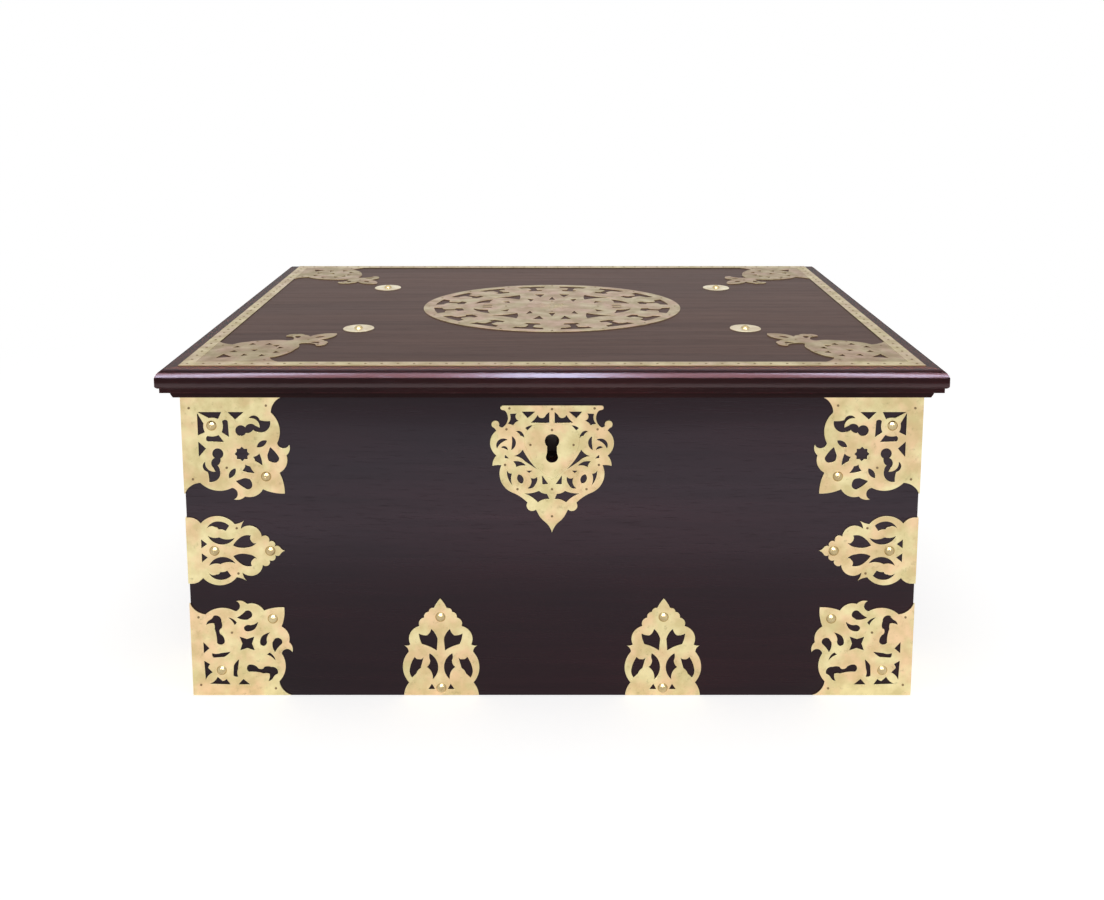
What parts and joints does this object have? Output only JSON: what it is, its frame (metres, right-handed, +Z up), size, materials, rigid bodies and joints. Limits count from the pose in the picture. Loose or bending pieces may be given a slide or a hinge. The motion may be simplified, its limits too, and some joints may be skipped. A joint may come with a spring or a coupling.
{
  "type": "brass-bound hinged dowry chest",
  "caption": "Dark polished wooden chest with a moulded hinged lid, pierced brass mounts, a box lock and drop handles.",
  "frame": {"origin": "middle of the footprint of the whole chest, on the floor", "axes": "+Z up, the front faces -Y, the width runs along X"},
  "size_m": [1.011, 0.7433, 0.4596],
  "materials": {
    "dark_wood": "polished, near-black reddish brown",
    "plain_wood": "oiled, unpolished",
    "brass": "aged and polished",
    "lock_iron": "blackened",
    "screw_steel": "dull"
  },
  "bodies": {
    "box": {"back_board": "dark_wood", "body_nails": "brass", "body_pins": "brass", "bottom_board": "plain_wood", "bottom_left_mount": "brass", "bottom_right_mount": "brass", "box_hinge_screws": "brass", "escutcheon": "brass", "front_board": "dark_wood", "handle_nuts": "screw_steel", "left_base_mount": "brass", "left_end_board": "dark_wood", "left_handle_plate": "brass", "left_handle_posts": "brass", "left_hinge_lower_leaf": "brass", "left_hinge_pin": "brass", "lock_case": "lock_iron", "lock_key_post": "lock_iron", "lock_screws": "screw_steel", "middle_left_mount": "brass", "middle_right_mount": "brass", "rear_left_mounts": "brass", "rear_right_mounts": "brass", "right_base_mount": "brass", "right_end_board": "dark_wood", "right_handle_plate": "brass", "right_handle_posts": "brass", "right_hinge_lower_leaf": "brass", "right_hinge_pin": "brass", "top_left_mount": "brass", "top_right_mount": "brass"},
    "lid": {"lid_panel": "dark_wood", "lid_front_moulding": "dark_wood", "lid_left_moulding": "dark_wood", "lid_right_moulding": "dark_wood", "lid_front_lip": "dark_wood", "lid_left_lip": "dark_wood", "lid_right_lip": "dark_wood", "lid_left_batten": "plain_wood", "lid_right_batten": "plain_wood", "lid_front_strip": "brass", "lid_back_strip": "brass", "lid_left_strip": "brass", "lid_right_strip": "brass", "lid_front_left_mount": "brass", "lid_front_right_mount": "brass", "lid_back_left_mount": "brass", "lid_back_right_mount": "brass", "lid_medallion": "brass", "lid_rosettes": "brass", "lid_nails": "brass", "left_hinge_upper_leaf": "brass", "right_hinge_upper_leaf": "brass", "lid_screws": "brass", "lock_link_plate": "lock_iron", "lid_pins": "brass"},
    "bolt": {"lock_bolt": "lock_iron", "lock_backspring": "lock_iron"},
    "left_bail": {"left_handle_bail": "brass"},
    "right_bail": {"right_handle_bail": "brass"}
  },
  "joints": [
    {"name": "lid_hinge", "type": "hinge", "parent": "box", "child": "lid", "pos_m": [0, 0.36715, 0.424], "axis": [-1, 0, 0], "range_deg": [0, 97]},
    {"name": "lock_bolt_slide", "type": "slide", "parent": "box", "child": "bolt", "axis": [1, 0, 0], "range_m": [0, 0.009]},
    {"name": "left_handle_swing", "type": "hinge", "parent": "box", "child": "left_bail", "pos_m": [-0.4985, 0.00785, 0.224], "axis": [0, 1, 0], "range_deg": [0, 90]},
    {"name": "right_handle_swing", "type": "hinge", "parent": "box", "child": "right_bail", "pos_m": [0.4985, 0.00785, 0.224], "axis": [0, -1, 0], "range_deg": [0, 90]}
  ]
}
